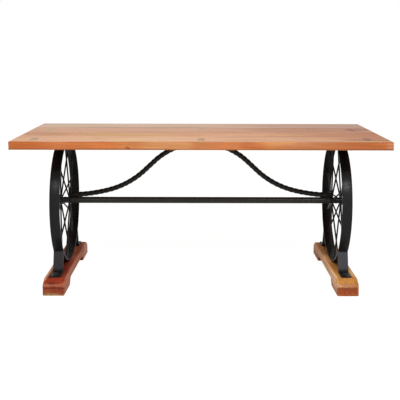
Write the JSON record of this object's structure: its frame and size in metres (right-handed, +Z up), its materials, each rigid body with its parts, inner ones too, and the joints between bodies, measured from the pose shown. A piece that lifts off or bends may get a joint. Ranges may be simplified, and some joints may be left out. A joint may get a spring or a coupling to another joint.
{
  "type": "dining table",
  "caption": "Dining table with a plank top on two iron cartwheels and wooden feet, joined by a tube and a twisted iron brace.",
  "frame": {"origin": "on the floor, under the middle of the top", "axes": "+X along the table's length, -Y towards its front, +Z up"},
  "size_m": [1.8, 0.85, 0.755],
  "materials": {
    "top_wood": "pale planed boards with a soft oil finish",
    "left_foot_wood": "reddish brown, waxed",
    "right_foot_wood": "golden brown, waxed",
    "inlay_metal": "dull, brushed",
    "black_iron": "satin black",
    "fixing_steel": "blackened"
  },
  "bodies": {
    "root": {"top_board_1": "top_wood", "top_board_2": "top_wood", "top_board_3": "top_wood", "top_board_4": "top_wood", "front_inlays": "inlay_metal", "rear_inlays": "inlay_metal", "left_wheel_rim": "black_iron", "left_wheel_hub": "black_iron", "left_wheel_spoke_01": "black_iron", "left_wheel_spoke_02": "black_iron", "left_wheel_spoke_03": "black_iron", "left_wheel_spoke_04": "black_iron", "left_wheel_spoke_05": "black_iron", "left_wheel_spoke_06": "black_iron", "left_wheel_spoke_07": "black_iron", "left_wheel_spoke_08": "black_iron", "left_wheel_spoke_09": "black_iron", "left_wheel_spoke_10": "black_iron", "left_wheel_spoke_11": "black_iron", "left_wheel_spoke_12": "black_iron", "left_wheel_spoke_13": "black_iron", "left_wheel_spoke_14": "black_iron", "left_wheel_spoke_15": "black_iron", "left_wheel_spoke_16": "black_iron", "left_end_plug": "black_iron", "left_top_plate": "black_iron", "left_front_strap": "black_iron", "left_rear_strap": "black_iron", "left_foot": "left_foot_wood", "right_wheel_rim": "black_iron", "right_wheel_hub": "black_iron", "right_wheel_spoke_01": "black_iron", "right_wheel_spoke_02": "black_iron", "right_wheel_spoke_03": "black_iron", "right_wheel_spoke_04": "black_iron", "right_wheel_spoke_05": "black_iron", "right_wheel_spoke_06": "black_iron", "right_wheel_spoke_07": "black_iron", "right_wheel_spoke_08": "black_iron", "right_wheel_spoke_09": "black_iron", "right_wheel_spoke_10": "black_iron", "right_wheel_spoke_11": "black_iron", "right_wheel_spoke_12": "black_iron", "right_wheel_spoke_13": "black_iron", "right_wheel_spoke_14": "black_iron", "right_wheel_spoke_15": "black_iron", "right_wheel_spoke_16": "black_iron", "right_end_plug": "black_iron", "right_top_plate": "black_iron", "right_front_strap": "black_iron", "right_rear_strap": "black_iron", "right_foot": "right_foot_wood", "stretcher": "black_iron", "brace": "black_iron", "crown_plate": "black_iron", "hub_bolts": "fixing_steel", "hub_washers": "fixing_steel", "top_screws": "fixing_steel", "foot_bolts": "black_iron"}
  },
  "joints": []
}
